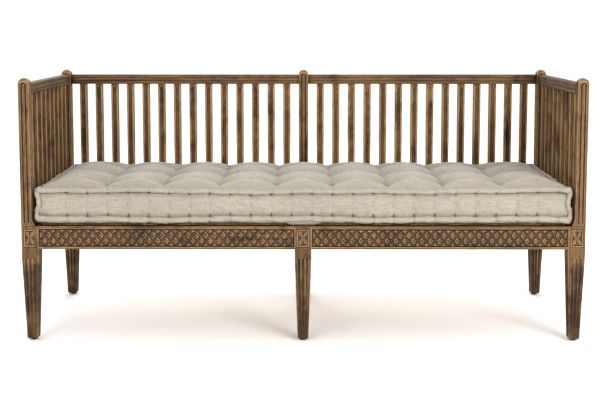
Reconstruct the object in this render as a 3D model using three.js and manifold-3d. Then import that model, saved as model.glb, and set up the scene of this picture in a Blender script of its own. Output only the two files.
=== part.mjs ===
// A slatted daybed in the Gustavian manner, in millimetres, +Z up, origin on the floor under its middle.
// Four corner posts and two centre posts stand on tapered, fluted legs. Seat rails and reeded top rails are
// tenoned into the posts, chamfered slats are tenoned into the rails, and two loose slatted bases on cleats
// carry a thick mattress that lifts straight out.
import * as THREE from "three";
import { mergeVertices } from "three/addons/utils/BufferGeometryUtils.js";
import Module from "manifold-3d";

// Overall size
const length = 2000;
const depth = 718;
const height = 942;

// Posts: the leg tapers from the foot up to a square block, and a slimmer shaft rises from the block's
// outer corner to a round top, with a cove where it leaves the block.
const block = 60;
const foot = 38;
const footRound = 5;
const glideHeight = 6;
const glideRadius = 11;
const glidePinRadius = 3;
const glidePinLength = 12;
const taperTop = 305;
const shaft = 38;
const coveHeight = 35;
const recessInset = 11;
const recessDepth = 3;

// Flutes: two on each face of a shaft, and three wider ones on each face of a leg, narrowing with it
const fluteRadius = 2.9;
const fluteSpacing = 14;
const fluteEnd = 9;
const legFluteRadius = 5;
const legFluteDepth = 2.6;
const legFluteSpacing = 15.5;
const legFluteBottom = 50;

// Seat rails
const seatTop = 416;
const railHeight = 82;
const railSetback = 3;
const fieldBottomBand = 10;
const fieldTopBand = 12.5;

// Top rails
const topRailDrop = 20;
const topRailHeight = 38;
const topRailSetback = 2;
const reedGroove = 2.2;

// Slats
const slatsPerBackHalf = 14;
const slatsPerSide = 9;
const slatWidth = 29;
const slatThickness = 26;
const slatChamfer = 4;
const slatTenonWidth = 20;
const slatTenonThickness = 12;
const slatTenonLength = 12;

// Joinery
const fit = 0.3;
const seatTenonLength = 20;
const seatTenonThickness = 12;
const seatTenonHeight = 54;
const topTenonWall = 2.5;
const topTenonThickness = 11;
const topTenonHeight = 24;

// Bed base
const boardsPerHalf = 7;
const boardWidth = 75;
const boardThickness = 18;
const boardEndGap = 1.5;
const boardGapAtPosts = 10;
const battenWidth = 40;
const battenThickness = 14;
const battenPlace = 170;
const cleatWidth = 20;
const cleatHeight = 28;
const crossRailWidth = 26;
const crossRailHeight = 40;
const crossTenonShoulder = 5;

// Mattress
const mattressClearance = 2;
const mattressFrontSetback = 8;
const mattressHeight = 152;
const mattressCorner = 40;

// Places worked out from the sizes above
const halfLength = length / 2;
const halfDepth = depth / 2;
const panelCentre = shaft / 2;
const seatBottom = seatTop - railHeight;
const topRailTop = height - topRailDrop;
const topRailBottom = topRailTop - topRailHeight;
const springing = height - shaft / 2;
const shaftInner = halfLength - shaft;
const blockInner = halfLength - block;
const railThickness = shaft - 2 * railSetback;
const railInnerFace = panelCentre + railThickness / 2;
const topRailWidth = shaft - 2 * topRailSetback;
const coveReach = block - shaft;
const mattressEdgeIn = coveReach + mattressClearance;
const panelInBlock = block / 2 - panelCentre;
const seatTenon = {
  length: seatTenonLength,
  thickness: seatTenonThickness,
  low: seatBottom + (railHeight - seatTenonHeight) / 2,
  high: seatTop - (railHeight - seatTenonHeight) / 2,
};
const topTenon = {
  length: (shaft - topTenonThickness) / 2 - topTenonWall,
  thickness: topTenonThickness,
  low: topRailBottom + (topRailHeight - topTenonHeight) / 2,
  high: topRailTop - (topRailHeight - topTenonHeight) / 2,
};
const cleatTop = seatTop - boardThickness - fit;
const crossTenon = {
  length: seatTenonLength,
  thickness: seatTenonThickness,
  low: cleatTop - crossRailHeight + crossTenonShoulder,
  high: cleatTop - crossTenonShoulder,
};

const oak = new THREE.MeshStandardMaterial({ color: 0x7d5f3c, roughness: 0.72, metalness: 0 });
const darkPlastic = new THREE.MeshStandardMaterial({ color: 0x2b2520, roughness: 0.6, metalness: 0 });
const plainWood = new THREE.MeshStandardMaterial({ color: 0xb08d5c, roughness: 0.8, metalness: 0 });
const linen = new THREE.MeshStandardMaterial({ color: 0xcfc6b2, roughness: 0.95, metalness: 0 });

const wasm = await Module();
wasm.setup();

// ---------- solids ----------

function toSolid(geometry) {
  const bare = geometry.clone();
  bare.deleteAttribute("normal");
  bare.deleteAttribute("uv");
  const merged = mergeVertices(bare.index ? bare.toNonIndexed() : bare, 1e-4);
  return new wasm.Manifold(
    new wasm.Mesh({
      numProp: 3,
      vertProperties: new Float32Array(merged.attributes.position.array),
      triVerts: new Uint32Array(merged.index.array),
    }),
  );
}

function toGeometry(solid) {
  const made = solid.getMesh();
  const geometry = new THREE.BufferGeometry();
  const position = new Float32Array(made.numVert * 3);
  for (let i = 0; i < made.numVert; i++)
    position.set(made.vertProperties.subarray(i * made.numProp, i * made.numProp + 3), i * 3);
  geometry.setAttribute("position", new THREE.BufferAttribute(position, 3));
  geometry.setIndex(new THREE.BufferAttribute(new Uint32Array(made.triVerts), 1));
  geometry.computeVertexNormals();
  return geometry;
}

// A box from its lowest to its highest corner.
function box(x0, y0, z0, x1, y1, z1) {
  const geometry = new THREE.BoxGeometry(x1 - x0, y1 - y0, z1 - z0);
  geometry.translate((x0 + x1) / 2, (y0 + y1) / 2, (z0 + z1) / 2);
  return toSolid(geometry);
}

// A flat outline drawn in (across, up), extruded along +Y from y0 to y1.
function alongY(shape, y0, y1, curveSegments = 10) {
  const geometry = new THREE.ExtrudeGeometry(shape, { depth: y1 - y0, bevelEnabled: false, curveSegments });
  geometry.rotateX(Math.PI / 2);
  geometry.translate(0, y1, 0);
  return toSolid(geometry);
}

// The same outline extruded along X, with "across" running along +Y.
function alongX(shape, x0, x1, curveSegments = 10) {
  const geometry = new THREE.ExtrudeGeometry(shape, { depth: x1 - x0, bevelEnabled: false, curveSegments });
  geometry.rotateX(Math.PI / 2);
  geometry.rotateZ(Math.PI / 2);
  geometry.translate(x0, 0, 0);
  return toSolid(geometry);
}

// A round cutter from one point to another, tapering if it has a second radius.
function cutter(from, to, radius, endRadius = radius) {
  const a = new THREE.Vector3(...from);
  const b = new THREE.Vector3(...to);
  const geometry = new THREE.CylinderGeometry(endRadius, radius, a.distanceTo(b), 10);
  geometry.applyQuaternion(
    new THREE.Quaternion().setFromUnitVectors(new THREE.Vector3(0, 1, 0), b.clone().sub(a).normalize()),
  );
  const middle = a.add(b).multiplyScalar(0.5);
  geometry.translate(middle.x, middle.y, middle.z);
  return toSolid(geometry);
}

function cutAll(solid, cutters) {
  return cutters.reduce((left, cut) => left.subtract(cut), solid);
}

// ---------- posts ----------

// A square, tapered leg up to the seat's top, rounded under its foot, centred on the Z axis.
function leg() {
  const halfDiagonal = (width) => width * Math.SQRT1_2;
  const profile = [
    [0, glideHeight],
    [halfDiagonal(foot - 2 * footRound), glideHeight],
    [halfDiagonal(foot - footRound * 0.6), glideHeight + footRound * 0.3],
    [halfDiagonal(foot), glideHeight + footRound],
    [halfDiagonal(block), taperTop],
    [halfDiagonal(block), seatTop],
    [0, seatTop],
  ].map(([r, z]) => new THREE.Vector2(r, z));
  const geometry = new THREE.LatheGeometry(profile, 4);
  geometry.rotateY(Math.PI / 4);
  geometry.rotateX(Math.PI / 2);
  const pinHole = cutter([0, 0, -1], [0, 0, glideHeight + glidePinLength + fit], glidePinRadius + fit);
  return toSolid(geometry).subtract(pinHole);
}

// A glide with its pin, standing on the floor under a foot.
function glide() {
  const pinTop = glideHeight + glidePinLength;
  const profile = [
    [0, 0],
    [glideRadius - 1, 0],
    [glideRadius, 1],
    [glideRadius, glideHeight - fit],
    [glidePinRadius, glideHeight - fit],
    [glidePinRadius, pinTop],
    [0, pinTop],
  ].map(([r, z]) => new THREE.Vector2(r, z));
  const geometry = new THREE.LatheGeometry(profile, 20);
  geometry.rotateX(Math.PI / 2);
  return toSolid(geometry);
}

// Three flutes down each of the leg's four faces, narrowing with it.
function legFlutes() {
  const low = glideHeight + footRound;
  const halfAt = (z) => (foot + ((block - foot) * (z - low)) / (taperTop - low)) / 2;
  const top = taperTop - fluteEnd;
  const narrowing = halfAt(legFluteBottom) / halfAt(top);
  const proud = legFluteRadius - legFluteDepth;
  const wideOut = halfAt(top) + proud;
  const narrowOut = halfAt(legFluteBottom) + proud * narrowing;
  const radii = [legFluteRadius, legFluteRadius * narrowing];
  const cuts = [];
  for (const side of [-1, 1])
    for (const flute of [-1, 0, 1]) {
      const wide = flute * legFluteSpacing;
      const narrow = wide * narrowing;
      cuts.push(
        cutter([wide, side * wideOut, top], [narrow, side * narrowOut, legFluteBottom], ...radii),
        cutter([side * wideOut, wide, top], [side * narrowOut, narrow, legFluteBottom], ...radii),
      );
    }
  return cuts;
}

// The side view of a post above its leg, with the shaft flush to the block's outer face, at -block/2.
function flushOutline() {
  const outer = -block / 2;
  const inner = outer + shaft;
  const shape = new THREE.Shape();
  shape.moveTo(outer, taperTop);
  shape.lineTo(block / 2, taperTop);
  shape.lineTo(block / 2, seatTop);
  shape.absellipse(block / 2, seatTop + coveHeight, coveReach, coveHeight, -Math.PI / 2, -Math.PI, true);
  shape.lineTo(inner, springing);
  shape.absarc(outer + shaft / 2, springing, shaft / 2, 0, Math.PI, false);
  shape.closePath();
  return shape;
}

// The front view of the back centre post, with the shaft in the middle of its block.
function centredOutline() {
  const reach = coveReach / 2;
  const shape = new THREE.Shape();
  shape.moveTo(-block / 2, taperTop);
  shape.lineTo(block / 2, taperTop);
  shape.lineTo(block / 2, seatTop);
  shape.absellipse(block / 2, seatTop + coveHeight, reach, coveHeight, -Math.PI / 2, -Math.PI, true);
  shape.absarc(0, springing, shaft / 2, 0, Math.PI, false);
  shape.absellipse(-block / 2, seatTop + coveHeight, reach, coveHeight, 0, -Math.PI / 2, true);
  shape.closePath();
  return shape;
}

// Two flutes on each face of a shaft whose middle is at (x, y).
function shaftFlutes(x, y) {
  const bottom = seatTop + coveHeight + fluteEnd;
  const top = springing - fluteEnd / 2;
  const cuts = [];
  for (const side of [-1, 1])
    for (const flute of [-0.5, 0.5]) {
      const face = (side * shaft) / 2;
      const across = flute * fluteSpacing;
      cuts.push(
        cutter([x + across, y + face, bottom], [x + across, y + face, top], fluteRadius),
        cutter([x + face, y + across, bottom], [x + face, y + across, top], fluteRadius),
      );
    }
  return cuts;
}

// The sunk square for a rosette in a block's face towards (dx, dy).
function blockRecess(dx, dy) {
  const half = block / 2;
  const wide = half - recessInset;
  const low = seatBottom + fieldBottomBand;
  const high = seatTop - fieldTopBand;
  if (dx) {
    const faces = [dx * (half - recessDepth), dx * (half + recessDepth)].sort((a, b) => a - b);
    return box(faces[0], -wide, low, faces[1], wide, high);
  }
  const faces = [dy * (half - recessDepth), dy * (half + recessDepth)].sort((a, b) => a - b);
  return box(-wide, faces[0], low, wide, faces[1], high);
}

// The mortise for a tenon that enters the post at "face" and runs along the axis in that direction.
function mortise(axis, face, direction, across, { length: reach, thickness, low, high }) {
  const ends = [face - direction, face + direction * (reach + fit)].sort((a, b) => a - b);
  const half = thickness / 2 + fit;
  return axis === "x"
    ? box(ends[0], across - half, low - fit, ends[1], across + half, high + fit)
    : box(across - half, ends[0], low - fit, across + half, ends[1], high + fit);
}

// Mortises for a seat rail and a top rail that leave the post towards "direction" along the axis.
function railMortises(axis, direction, across, shaftFace, withTopRail = true) {
  const cuts = [mortise(axis, (direction * block) / 2, -direction, across, seatTenon)];
  if (withTopRail) cuts.push(mortise(axis, shaftFace, -direction, across, topTenon));
  return cuts;
}

// A corner post standing at the outer corner (right, back), each -1 or 1.
function cornerPost(right, back) {
  const outline = flushOutline();
  const upper = alongY(outline, -block / 2, block / 2).intersect(alongX(outline, -block / 2, block / 2));
  const turned = right > 0 ? upper.mirror([1, 0, 0]) : upper;
  const placed = back > 0 ? turned.mirror([0, 1, 0]) : turned;
  const middleX = right * panelInBlock;
  const middleY = back * panelInBlock;
  return cutAll(leg().add(placed), [
    ...legFlutes(),
    ...shaftFlutes(middleX, middleY),
    blockRecess(right, 0),
    blockRecess(0, back),
    ...railMortises("x", -right, middleY, middleX - (right * shaft) / 2),
    ...railMortises("y", -back, middleX, middleY - (back * shaft) / 2),
  ]);
}

// The cross rail's mortise in a centre post, in the face towards "direction" along Y.
function crossMortise(direction) {
  return mortise("y", (direction * block) / 2, -direction, 0, crossTenon);
}

function backCentrePost() {
  const upper = alongY(centredOutline(), -block / 2, block / 2)
    .intersect(alongX(flushOutline(), -block / 2, block / 2))
    .mirror([0, 1, 0]);
  return cutAll(leg().add(upper), [
    ...legFlutes(),
    ...shaftFlutes(0, panelInBlock),
    ...railMortises("x", -1, panelInBlock, -shaft / 2),
    ...railMortises("x", 1, panelInBlock, shaft / 2),
    crossMortise(-1),
  ]);
}

function frontCentreLeg() {
  return cutAll(leg(), [
    ...legFlutes(),
    blockRecess(0, -1),
    ...railMortises("x", -1, -panelInBlock, 0, false),
    ...railMortises("x", 1, -panelInBlock, 0, false),
    crossMortise(1),
  ]);
}

// ---------- slat places ----------

// Middles of slats spread evenly between two faces, with equal gaps at the ends.
function spread(from, to, count) {
  const gap = (to - from - count * slatWidth) / (count + 1);
  return Array.from({ length: count }, (_, i) => from + gap * (i + 1) + slatWidth * (i + 0.5));
}

const backSlatPlaces = [
  ...spread(-shaftInner, -shaft / 2, slatsPerBackHalf),
  ...spread(shaft / 2, shaftInner, slatsPerBackHalf),
];
const sideSlatPlaces = spread(-halfDepth + shaft, halfDepth - shaft, slatsPerSide);

// ---------- rails, each made along X with its middle line at y = 0 ----------

// The tenons at both ends of a rail that runs from start to end, in one piece through it.
function tenons(start, end, { length: reach, thickness, low, high }) {
  return box(start - reach, -thickness / 2, low, end + reach, thickness / 2, high);
}

// Mortises for slats in a rail, open at the face "face" and reaching "direction" from it.
function slatMortises(places, face, direction) {
  const ends = [face - direction, face + direction * (slatTenonLength + fit)].sort((a, b) => a - b);
  const wide = slatTenonWidth / 2 + fit;
  const thick = slatTenonThickness / 2 + fit;
  return places.map((x) => box(x - wide, -thick, ends[0], x + wide, thick, ends[1]));
}

// The groove in a side rail that takes the slats' tongue.
function tongueGroove(x0, x1, face, direction) {
  const ends = [face - direction, face + direction * (slatTenonLength + fit)].sort((a, b) => a - b);
  const thick = slatTenonThickness / 2 + fit;
  return box(x0 - fit, -thick, ends[0], x1 + fit, thick, ends[1]);
}

// A seat rail between x0 and x1. A carved one has a sunk field in its outer face, at y = -railThickness/2.
function seatRail(x0, x1, carved, cuts) {
  const start = x0 + fit;
  const end = x1 - fit;
  const half = railThickness / 2;
  const body = box(start, -half, seatBottom, end, half, seatTop).add(tenons(start, end, seatTenon));
  const field = box(
    start + fieldBottomBand / 2, -half - recessDepth, seatBottom + fieldBottomBand,
    end - fieldBottomBand / 2, -half + recessDepth, seatTop - fieldTopBand,
  );
  return cutAll(body, carved ? [field, ...cuts] : cuts);
}

// The reeded section of a top rail: three reeds a side, and a rounded top.
function topRailOutline() {
  const half = topRailWidth / 2;
  const reed = (topRailHeight - 2 * reedGroove) / 3;
  const shape = new THREE.Shape();
  const levels = [0, 1, 2].map((i) => topRailBottom + i * (reed + reedGroove));
  const round = 2;
  shape.moveTo(-half + round, topRailBottom);
  shape.lineTo(half - round, topRailBottom);
  for (const low of levels) {
    shape.lineTo(half, low + round);
    shape.lineTo(half, low + reed - round);
    shape.lineTo(half - round, low + reed);
    if (low !== levels[2]) shape.lineTo(half - round, low + reed + reedGroove);
  }
  for (const low of levels.toReversed()) {
    if (low !== levels[2]) shape.lineTo(-half + round, low + reed + reedGroove);
    shape.lineTo(-half + round, low + reed);
    shape.lineTo(-half, low + reed - round);
    shape.lineTo(-half, low + round);
  }
  shape.closePath();
  return shape;
}

function topRail(x0, x1, cuts) {
  const start = x0 + fit;
  const end = x1 - fit;
  const body = alongX(topRailOutline(), start, end).add(tenons(start, end, topTenon));
  return cutAll(body, cuts);
}

// ---------- slats ----------

const slatLow = seatTop + fit;
const slatHigh = topRailBottom - fit;

// A slat with chamfered edges, standing on the Z axis, without its tenons.
function slatBody() {
  const w = slatWidth / 2;
  const t = slatThickness / 2;
  const c = slatChamfer;
  const shape = new THREE.Shape();
  shape.moveTo(-w + c, -t);
  shape.lineTo(w - c, -t);
  shape.lineTo(w, -t + c);
  shape.lineTo(w, t - c);
  shape.lineTo(w - c, t);
  shape.lineTo(-w + c, t);
  shape.lineTo(-w, t - c);
  shape.lineTo(-w, -t + c);
  shape.closePath();
  const geometry = new THREE.ExtrudeGeometry(shape, { depth: slatHigh - slatLow, bevelEnabled: false });
  geometry.translate(0, 0, slatLow);
  return toSolid(geometry);
}

function backSlat() {
  const wide = slatTenonWidth / 2;
  const thick = slatTenonThickness / 2;
  return slatBody().add(
    box(-wide, -thick, slatLow - slatTenonLength, wide, thick, slatHigh + slatTenonLength),
  );
}

// All the slats of one side, joined by the tongues that sit in the rails' grooves. Made along X.
function sideSlats() {
  const thick = slatTenonThickness / 2;
  const first = sideSlatPlaces[0] - slatWidth / 2;
  const last = sideSlatPlaces.at(-1) + slatWidth / 2;
  const tongues = [
    box(first, -thick, slatLow - slatTenonLength, last, thick, slatLow + 1),
    box(first, -thick, slatHigh - 1, last, thick, slatHigh + slatTenonLength),
  ];
  const slats = sideSlatPlaces.map((x) => slatBody().translate([x, 0, 0]));
  return [...tongues, ...slats].reduce((all, one) => all.add(one));
}

// ---------- bed base ----------

// Boards from front to back, spread along one half and screwed to two battens under them.
function slattedBase() {
  const reach = halfDepth - railInnerFace - boardEndGap;
  const first = block / 2 + boardGapAtPosts;
  const last = blockInner - boardGapAtPosts;
  const low = seatTop - boardThickness;
  const pitch = (last - first - boardWidth) / (boardsPerHalf - 1);
  const boards = Array.from({ length: boardsPerHalf }, (_, i) =>
    box(first + i * pitch, -reach, low, first + i * pitch + boardWidth, reach, seatTop),
  );
  const battens = [-battenPlace, battenPlace].map((y) =>
    box(first, y - battenWidth / 2, low - battenThickness, last, y + battenWidth / 2, low),
  );
  return [...boards, ...battens].reduce((all, one) => all.add(one));
}

function cleat() {
  const start = block / 2 + fit;
  const end = blockInner - fit;
  return box(start, 0, cleatTop - cleatHeight, end, cleatWidth, cleatTop);
}

function crossRail() {
  const reach = halfDepth - block - fit;
  const half = crossRailWidth / 2;
  const rail = box(-reach, -half, cleatTop - crossRailHeight, reach, half, cleatTop);
  return rail.add(tenons(-reach, reach, crossTenon)).rotate([0, 0, 90]);
}

// ---------- mattress ----------

function mattress() {
  const halfWide = shaftInner - mattressClearance;
  const front = -halfDepth + mattressFrontSetback;
  const back = halfDepth - shaft - mattressClearance;
  const r = mattressCorner;
  const shape = new THREE.Shape();
  shape.moveTo(-halfWide + r, front);
  shape.lineTo(halfWide - r, front);
  shape.absarc(halfWide - r, front + r, r, -Math.PI / 2, 0, false);
  shape.lineTo(halfWide, back - r);
  shape.absarc(halfWide - r, back - r, r, 0, Math.PI / 2, false);
  shape.lineTo(-halfWide + r, back);
  shape.absarc(-halfWide + r, back - r, r, Math.PI / 2, Math.PI, false);
  shape.lineTo(-halfWide, front + r);
  shape.absarc(-halfWide + r, front + r, r, Math.PI, 1.5 * Math.PI, false);
  const geometry = new THREE.ExtrudeGeometry(shape, {
    depth: mattressHeight - 2 * coveHeight,
    bevelThickness: coveHeight,
    bevelSize: mattressEdgeIn,
    bevelOffset: -mattressEdgeIn,
    bevelSegments: 4,
    curveSegments: 5,
  });
  geometry.translate(0, 0, seatTop + fit + coveHeight);
  return toSolid(geometry);
}

// ---------- assembly ----------

const daybed = new THREE.Group();

function put(name, solid, material, place = [0, 0], turn = 0, parent = daybed) {
  const mesh = new THREE.Mesh(toGeometry(solid), material);
  mesh.name = name;
  mesh.position.set(place[0], place[1], 0);
  mesh.rotation.z = turn;
  parent.add(mesh);
}

const ends = { left: -1, right: 1 };
const depths = { front: -1, back: 1 };
const postMiddle = [halfLength - block / 2, halfDepth - block / 2];

for (const [end, right] of Object.entries(ends))
  for (const [face, back] of Object.entries(depths))
    put(`${face}_${end}_post`, cornerPost(right, back), oak, [right * postMiddle[0], back * postMiddle[1]]);
for (const x of [-1, 0, 1])
  for (const [face, back] of Object.entries(depths)) {
    const end = { "-1": "left", 0: "center", 1: "right" }[x];
    put(`${face}_${end}_glide`, glide(), darkPlastic, [x * postMiddle[0], back * postMiddle[1]]);
  }
put("front_center_leg", frontCentreLeg(), oak, [0, -postMiddle[1]]);
put("back_center_post", backCentrePost(), oak, [0, postMiddle[1]]);

const halfRange = { left: [-blockInner, -block / 2], right: [block / 2, blockInner] };
const topRange = { left: [-shaftInner, -shaft / 2], right: [shaft / 2, shaftInner] };
for (const end of Object.keys(ends)) {
  const inHalf = backSlatPlaces.filter((x) => x * ends[end] > 0);
  put(`front_${end}_rail`, seatRail(...halfRange[end], true, []), oak, [0, -halfDepth + panelCentre]);
  put(
    `back_${end}_rail`, seatRail(...halfRange[end], false, slatMortises(inHalf, seatTop, -1)),
    oak, [0, halfDepth - panelCentre],
  );
  put(
    `back_${end}_top_rail`, topRail(...topRange[end], slatMortises(inHalf, topRailBottom, 1)),
    oak, [0, halfDepth - panelCentre],
  );
}
backSlatPlaces.forEach((x, i) =>
  put(`back_slat_${String(i + 1).padStart(2, "0")}`, backSlat(), oak, [x, halfDepth - panelCentre]),
);

// Side panels are made along X and turned a quarter, so that a rail's carved face looks outwards.
const tongueEnds = [sideSlatPlaces[0] - slatWidth / 2, sideSlatPlaces.at(-1) + slatWidth / 2];
const blockReach = halfDepth - block;
const shaftReach = halfDepth - shaft;
for (const [end, right] of Object.entries(ends)) {
  const panel = new THREE.Group();
  panel.position.x = right * (halfLength - panelCentre);
  panel.rotation.z = (right * Math.PI) / 2;
  daybed.add(panel);
  const seatGroove = tongueGroove(...tongueEnds, seatTop, -1);
  const topGroove = tongueGroove(...tongueEnds, topRailBottom, 1);
  put(`${end}_side_rail`, seatRail(-blockReach, blockReach, true, [seatGroove]), oak, [0, 0], 0, panel);
  put(`${end}_top_rail`, topRail(-shaftReach, shaftReach, [topGroove]), oak, [0, 0], 0, panel);
  put(`${end}_side_slats`, sideSlats(), oak, [0, 0], 0, panel);
}

// Cleats are screwed to the inside of the front and back rails, and the boards lie across them.
const cleatFace = halfDepth - railInnerFace - fit;
put("front_right_cleat", cleat(), plainWood, [0, -cleatFace]);
put("front_left_cleat", cleat().mirror([1, 0, 0]), plainWood, [0, -cleatFace]);
put("back_left_cleat", cleat(), plainWood, [0, cleatFace], Math.PI);
put("back_right_cleat", cleat().mirror([1, 0, 0]), plainWood, [0, cleatFace], Math.PI);
put("center_cross_rail", crossRail(), plainWood);

put("right_slatted_base", slattedBase(), plainWood);
put("left_slatted_base", slattedBase().mirror([1, 0, 0]), plainWood);

put("mattress", mattress(), linen);

export default daybed;
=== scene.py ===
import math

import bpy
import numpy as np
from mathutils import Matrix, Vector
from mathutils.bvhtree import BVHTree


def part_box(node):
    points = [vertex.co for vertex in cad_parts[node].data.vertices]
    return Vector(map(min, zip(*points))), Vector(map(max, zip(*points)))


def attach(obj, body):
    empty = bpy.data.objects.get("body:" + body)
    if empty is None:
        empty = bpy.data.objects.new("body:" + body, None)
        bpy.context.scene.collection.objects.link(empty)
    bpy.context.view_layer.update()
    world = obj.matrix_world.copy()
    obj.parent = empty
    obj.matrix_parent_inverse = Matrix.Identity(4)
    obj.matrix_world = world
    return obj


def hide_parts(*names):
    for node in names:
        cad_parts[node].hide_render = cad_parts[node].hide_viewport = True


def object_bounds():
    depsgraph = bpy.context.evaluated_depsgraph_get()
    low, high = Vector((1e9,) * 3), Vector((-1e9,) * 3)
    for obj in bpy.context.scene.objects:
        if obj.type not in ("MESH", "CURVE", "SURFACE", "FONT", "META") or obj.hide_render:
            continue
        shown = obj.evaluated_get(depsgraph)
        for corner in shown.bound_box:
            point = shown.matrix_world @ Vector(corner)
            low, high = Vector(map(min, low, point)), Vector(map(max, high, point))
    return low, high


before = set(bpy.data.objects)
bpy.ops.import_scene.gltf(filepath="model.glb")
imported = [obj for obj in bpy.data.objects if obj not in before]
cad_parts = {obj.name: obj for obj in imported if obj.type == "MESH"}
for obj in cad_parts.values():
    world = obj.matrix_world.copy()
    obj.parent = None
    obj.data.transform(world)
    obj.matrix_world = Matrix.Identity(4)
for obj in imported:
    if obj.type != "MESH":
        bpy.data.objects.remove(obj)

CAD_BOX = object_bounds()
MM = 0.001
rng = np.random.default_rng(7)


def add_object(name, data):
    """A new object in the scene, holding a mesh, a light or a camera."""
    thing = bpy.data.objects.new(name, data)
    bpy.context.scene.collection.objects.link(thing)
    return thing


# ---------- camera ----------

LENS_IN_IMAGE_WIDTHS = 1.798
CAMERA_BEFORE_FRONT = 3.768
CAMERA_HEIGHT = 1.1338
CAMERA_RIGHT = 0.0101
CAMERA_TILT = math.radians(5.374)
CAMERA_YAW = math.radians(0.317)
CAMERA_SHIFT = -0.1256


def make_camera():
    """The photo's camera."""
    data = bpy.data.cameras.new("camera")
    data.lens = data.sensor_width * LENS_IN_IMAGE_WIDTHS
    data.shift_y = CAMERA_SHIFT
    data.clip_start = 0.05
    data.clip_end = 100
    camera = add_object("camera", data)
    camera.location = (CAMERA_RIGHT, CAD_BOX[0].y - CAMERA_BEFORE_FRONT, CAMERA_HEIGHT)
    camera.rotation_mode = "XYZ"
    camera.rotation_euler = (math.pi / 2 - CAMERA_TILT, 0, CAMERA_YAW)
    bpy.context.scene.camera = camera


make_camera()

# ---------- materials ----------


class Finish:
    """A new material and ways to make its nodes."""

    def __init__(self, name):
        self.material = bpy.data.materials.new(name)
        self.material.use_nodes = True
        self.nodes = self.material.node_tree.nodes
        self.link = self.material.node_tree.links.new
        self.shader = self.nodes["Principled BSDF"]

    def put(self, value, socket):
        """Links or sets an input: value is a socket, a number or a colour."""
        if isinstance(value, bpy.types.NodeSocket):
            self.link(value, socket)
        elif isinstance(value, tuple):
            socket.default_value = (*value, 1)
        else:
            socket.default_value = value

    def surface(self, **inputs):
        """Fills the shader's inputs."""
        for name, value in inputs.items():
            self.put(value, self.shader.inputs[name.replace("_", " ")])

    def node(self, kind, **inputs):
        """A new node with its inputs filled, named with _ for each space."""
        made = self.nodes.new("ShaderNode" + kind)
        for name, value in inputs.items():
            self.put(value, made.inputs[name.replace("_", " ")])
        return made

    def place(self):
        return self.node("TexCoord").outputs["Object"]

    def stretched(self, vector, axis, scale):
        """Coordinates scaled along one axis."""
        node = self.node("Mapping", Vector=vector)
        node.inputs["Scale"].default_value[axis] = scale
        return node.outputs["Vector"]

    def split(self, vector):
        return self.node("SeparateXYZ", Vector=vector).outputs

    def noise(self, vector, scale, detail, roughness):
        node = self.node("TexNoise", Vector=vector, Scale=scale, Detail=detail, Roughness=roughness)
        return node.outputs["Fac"]

    def ramp(self, fac, stops):
        """A colour ramp of (position, colour or grey) stops."""
        node = self.node("ValToRGB", Fac=fac)
        elements = node.color_ramp.elements
        while len(elements) < len(stops):
            elements.new(0.5)
        for element, (position, colour) in zip(elements, stops):
            element.position = position
            element.color = (*colour, 1) if isinstance(colour, tuple) else (colour, colour, colour, 1)
        return node.outputs["Color"]

    def mix(self, fac, a, b):
        node = self.node("Mix")
        node.data_type = "RGBA"
        for socket, value in ((node.inputs["Factor"], fac), (node.inputs["A"], a), (node.inputs["B"], b)):
            self.put(value, socket)
        return node.outputs["Result"]

    def math(self, kind, a, b=0.0):
        node = self.node("Math")
        node.operation = kind
        self.put(a, node.inputs[0])
        self.put(b, node.inputs[1])
        return node.outputs["Value"]

    def times(self, a, b):
        return self.math("MULTIPLY", a, b)

    def plus(self, *values):
        total = values[0]
        for value in values[1:]:
            total = self.math("ADD", total, value)
        return total

    def attribute(self, name):
        node = self.node("Attribute")
        node.attribute_name = name
        return node.outputs["Fac"]

    def bump(self, *heights):
        """Adds a bump for each (height, strength, distance)."""
        normal = None
        for height, strength, distance in heights:
            node = self.node("Bump", Height=height, Strength=strength, Distance=distance)
            if normal is not None:
                self.link(normal, node.inputs["Normal"])
            normal = node.outputs["Normal"]
        self.surface(Normal=normal)


GRAIN_STRETCH = 0.045
WOOD_BLACK = (0.013, 0.010, 0.008)
WOOD_DEEP = (0.050, 0.031, 0.017)
WOOD_MIDDLE = (0.134, 0.081, 0.041)
WOOD_LIGHT = (0.240, 0.150, 0.076)
WOOD_WORN = (0.40, 0.263, 0.142)
PINE_PORES = (0.2, 0.12, 0.06)
PINE_DEEP = (0.34, 0.21, 0.11)
PINE_MIDDLE = (0.50, 0.34, 0.19)
PINE_LIGHT = (0.60, 0.43, 0.26)


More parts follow.
